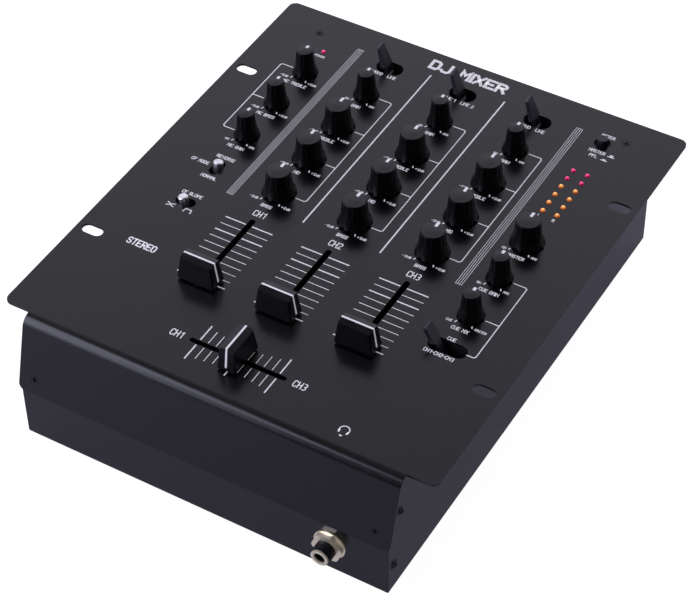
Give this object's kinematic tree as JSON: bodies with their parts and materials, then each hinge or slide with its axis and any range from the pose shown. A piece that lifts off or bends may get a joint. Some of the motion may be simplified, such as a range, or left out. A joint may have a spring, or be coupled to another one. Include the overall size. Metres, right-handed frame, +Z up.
{
  "type": "dj mixer",
  "caption": "Compact tabletop and rack DJ mixer: steel case with eared panel and sloping front, rotary equalisers, channel faders, crossfader, switches and level meter.",
  "frame": {"origin": "on the table, under the middle of the whole mixer with its jacks", "axes": "+X to the user's right, +Y to the rear, +Z up out of the panel"},
  "size_m": [0.254, 0.316, 0.0952],
  "materials": {
    "powder_black": "fine matt powder coat",
    "black_screws": "blackened steel",
    "zinc_screws": "zinc plated",
    "rubber": "matt rubber",
    "pot_metal": "tinned steel",
    "dark_steel": "blackened steel",
    "switch_plastic": "satin moulded plastic",
    "led_red": "clear tinted lamp",
    "led_amber": "clear tinted lamp",
    "circuit_board": "green solder mask",
    "component_black": "moulded epoxy",
    "cable_grey": "ribbed vinyl",
    "jack_plastic": "threaded moulded plastic",
    "nickel": "bright nickel",
    "knob_plastic": "satin moulded plastic",
    "cap_plastic": "satin moulded plastic",
    "lever_plastic": "satin moulded plastic",
    "lever_metal": "plated"
  },
  "bodies": {
    "case": {"top_panel": "powder_black", "base_tray": "powder_black", "front_plate": "powder_black", "rear_panel": "powder_black", "case_screws": "black_screws", "pan_screws": "zinc_screws", "rubber_feet": "rubber", "pot_bodies": "pot_metal", "pot_nuts": "zinc_screws", "fader_frames": "dark_steel", "fader_rods": "dark_steel", "input_switch_bodies": "switch_plastic", "cue_switch_body": "switch_plastic", "crossfader_switch_bodies": "switch_plastic", "meter_switch_body": "switch_plastic", "red_leds": "led_red", "amber_leds": "led_amber", "control_board": "circuit_board", "fader_board": "circuit_board", "io_board": "circuit_board", "board_standoffs": "zinc_screws", "board_components": "component_black", "ribbon_cable": "cable_grey", "headphone_jack_body": "jack_plastic", "microphone_jack_body": "jack_plastic", "jack_nuts": "nickel", "jack_rings": "nickel", "phono_jack_housings": "jack_plastic", "phono_jack_shells": "nickel", "ground_post": "nickel", "power_inlet": "jack_plastic"},
    "knob_mic_treble": {"knob_mic_treble": "knob_plastic"},
    "knob_mic_bass": {"knob_mic_bass": "knob_plastic"},
    "knob_mic_gain": {"knob_mic_gain": "knob_plastic"},
    "knob_master": {"knob_master": "knob_plastic"},
    "knob_cue_gain": {"knob_cue_gain": "knob_plastic"},
    "knob_cue_mix": {"knob_cue_mix": "knob_plastic"},
    "knob_channel_1_gain": {"knob_channel_1_gain": "knob_plastic"},
    "knob_channel_1_treble": {"knob_channel_1_treble": "knob_plastic"},
    "knob_channel_1_mid": {"knob_channel_1_mid": "knob_plastic"},
    "knob_channel_1_bass": {"knob_channel_1_bass": "knob_plastic"},
    "knob_channel_2_gain": {"knob_channel_2_gain": "knob_plastic"},
    "knob_channel_2_treble": {"knob_channel_2_treble": "knob_plastic"},
    "knob_channel_2_mid": {"knob_channel_2_mid": "knob_plastic"},
    "knob_channel_2_bass": {"knob_channel_2_bass": "knob_plastic"},
    "knob_channel_3_gain": {"knob_channel_3_gain": "knob_plastic"},
    "knob_channel_3_treble": {"knob_channel_3_treble": "knob_plastic"},
    "knob_channel_3_mid": {"knob_channel_3_mid": "knob_plastic"},
    "knob_channel_3_bass": {"knob_channel_3_bass": "knob_plastic"},
    "input_lever_channel_1": {"input_lever_channel_1": "lever_plastic"},
    "input_lever_channel_2": {"input_lever_channel_2": "lever_plastic"},
    "input_lever_channel_3": {"input_lever_channel_3": "lever_plastic"},
    "cue_lever": {"cue_lever": "lever_plastic"},
    "crossfader_mode_lever": {"crossfader_mode_lever": "lever_metal"},
    "crossfader_slope_lever": {"crossfader_slope_lever": "lever_metal"},
    "meter_button": {"meter_button": "lever_plastic"},
    "fader_channel_1": {"fader_channel_1": "cap_plastic"},
    "fader_channel_2": {"fader_channel_2": "cap_plastic"},
    "fader_channel_3": {"fader_channel_3": "cap_plastic"},
    "crossfader": {"crossfader": "cap_plastic"}
  },
  "joints": [
    {"name": "turn_mic_treble", "type": "hinge", "parent": "case", "child": "knob_mic_treble", "pos_m": [-0.087, 0.1018, 0.079], "axis": [0, 0, 1], "range_deg": [-150, 150]},
    {"name": "turn_mic_bass", "type": "hinge", "parent": "case", "child": "knob_mic_bass", "pos_m": [-0.087, 0.07067, 0.079], "axis": [0, 0, 1], "range_deg": [-150, 150]},
    {"name": "turn_mic_gain", "type": "hinge", "parent": "case", "child": "knob_mic_gain", "pos_m": [-0.087, 0.03954, 0.079], "axis": [0, 0, 1], "range_deg": [-150, 150]},
    {"name": "turn_master", "type": "hinge", "parent": "case", "child": "knob_master", "pos_m": [0.0865, 0.03954, 0.079], "axis": [0, 0, 1], "range_deg": [-150, 150]},
    {"name": "turn_cue_gain", "type": "hinge", "parent": "case", "child": "knob_cue_gain", "pos_m": [0.0865, 0.00841, 0.079], "axis": [0, 0, 1], "range_deg": [-150, 150]},
    {"name": "turn_cue_mix", "type": "hinge", "parent": "case", "child": "knob_cue_mix", "pos_m": [0.0865, -0.02272, 0.079], "axis": [0, 0, 1], "range_deg": [-150, 150]},
    {"name": "turn_channel_1_gain", "type": "hinge", "parent": "case", "child": "knob_channel_1_gain", "pos_m": [-0.047, 0.1018, 0.079], "axis": [0, 0, 1], "range_deg": [-150, 150]},
    {"name": "turn_channel_1_treble", "type": "hinge", "parent": "case", "child": "knob_channel_1_treble", "pos_m": [-0.047, 0.07067, 0.079], "axis": [0, 0, 1], "range_deg": [-150, 150]},
    {"name": "turn_channel_1_mid", "type": "hinge", "parent": "case", "child": "knob_channel_1_mid", "pos_m": [-0.047, 0.03954, 0.079], "axis": [0, 0, 1], "range_deg": [-150, 150]},
    {"name": "turn_channel_1_bass", "type": "hinge", "parent": "case", "child": "knob_channel_1_bass", "pos_m": [-0.047, 0.00841, 0.079], "axis": [0, 0, 1], "range_deg": [-150, 150]},
    {"name": "turn_channel_2_gain", "type": "hinge", "parent": "case", "child": "knob_channel_2_gain", "pos_m": [0, 0.1018, 0.079], "axis": [0, 0, 1], "range_deg": [-150, 150]},
    {"name": "turn_channel_2_treble", "type": "hinge", "parent": "case", "child": "knob_channel_2_treble", "pos_m": [0, 0.07067, 0.079], "axis": [0, 0, 1], "range_deg": [-150, 150]},
    {"name": "turn_channel_2_mid", "type": "hinge", "parent": "case", "child": "knob_channel_2_mid", "pos_m": [0, 0.03954, 0.079], "axis": [0, 0, 1], "range_deg": [-150, 150]},
    {"name": "turn_channel_2_bass", "type": "hinge", "parent": "case", "child": "knob_channel_2_bass", "pos_m": [0, 0.00841, 0.079], "axis": [0, 0, 1], "range_deg": [-150, 150]},
    {"name": "turn_channel_3_gain", "type": "hinge", "parent": "case", "child": "knob_channel_3_gain", "pos_m": [0.047, 0.1018, 0.079], "axis": [0, 0, 1], "range_deg": [-150, 150]},
    {"name": "turn_channel_3_treble", "type": "hinge", "parent": "case", "child": "knob_channel_3_treble", "pos_m": [0.047, 0.07067, 0.079], "axis": [0, 0, 1], "range_deg": [-150, 150]},
    {"name": "turn_channel_3_mid", "type": "hinge", "parent": "case", "child": "knob_channel_3_mid", "pos_m": [0.047, 0.03954, 0.079], "axis": [0, 0, 1], "range_deg": [-150, 150]},
    {"name": "turn_channel_3_bass", "type": "hinge", "parent": "case", "child": "knob_channel_3_bass", "pos_m": [0.047, 0.00841, 0.079], "axis": [0, 0, 1], "range_deg": [-150, 150]},
    {"name": "switch_input_channel_1", "type": "hinge", "parent": "case", "child": "input_lever_channel_1", "pos_m": [-0.047, 0.1284, 0.074], "axis": [0, 1, 0], "range_deg": [0, 35]},
    {"name": "switch_input_channel_2", "type": "hinge", "parent": "case", "child": "input_lever_channel_2", "pos_m": [0, 0.1284, 0.074], "axis": [0, 1, 0], "range_deg": [0, 35]},
    {"name": "switch_input_channel_3", "type": "hinge", "parent": "case", "child": "input_lever_channel_3", "pos_m": [0.047, 0.1284, 0.074], "axis": [0, 1, 0], "range_deg": [0, 35]},
    {"name": "select_cue", "type": "hinge", "parent": "case", "child": "cue_lever", "pos_m": [0.0872, -0.0486, 0.0692], "axis": [0, 1, 0], "range_deg": [0, 61]},
    {"name": "switch_crossfader_mode", "type": "hinge", "parent": "case", "child": "crossfader_mode_lever", "pos_m": [-0.0865, 0.0083, 0.0738], "axis": [1, 0, 0], "range_deg": [0, 21]},
    {"name": "switch_crossfader_slope", "type": "hinge", "parent": "case", "child": "crossfader_slope_lever", "pos_m": [-0.0865, -0.0231, 0.0738], "axis": [0, 1, 0], "range_deg": [0, 21]},
    {"name": "press_meter_button", "type": "slide", "parent": "case", "child": "meter_button", "axis": [0, 0, -1], "range_m": [0, 0.0025]},
    {"name": "slide_channel_1", "type": "slide", "parent": "case", "child": "fader_channel_1", "axis": [0, 1, 0], "range_m": [0, 0.0468]},
    {"name": "slide_channel_2", "type": "slide", "parent": "case", "child": "fader_channel_2", "axis": [0, 1, 0], "range_m": [0, 0.0468]},
    {"name": "slide_channel_3", "type": "slide", "parent": "case", "child": "fader_channel_3", "axis": [0, 1, 0], "range_m": [0, 0.0468]},
    {"name": "slide_crossfader", "type": "slide", "parent": "case", "child": "crossfader", "axis": [1, 0, 0], "range_m": [-0.0234, 0.0234]}
  ]
}
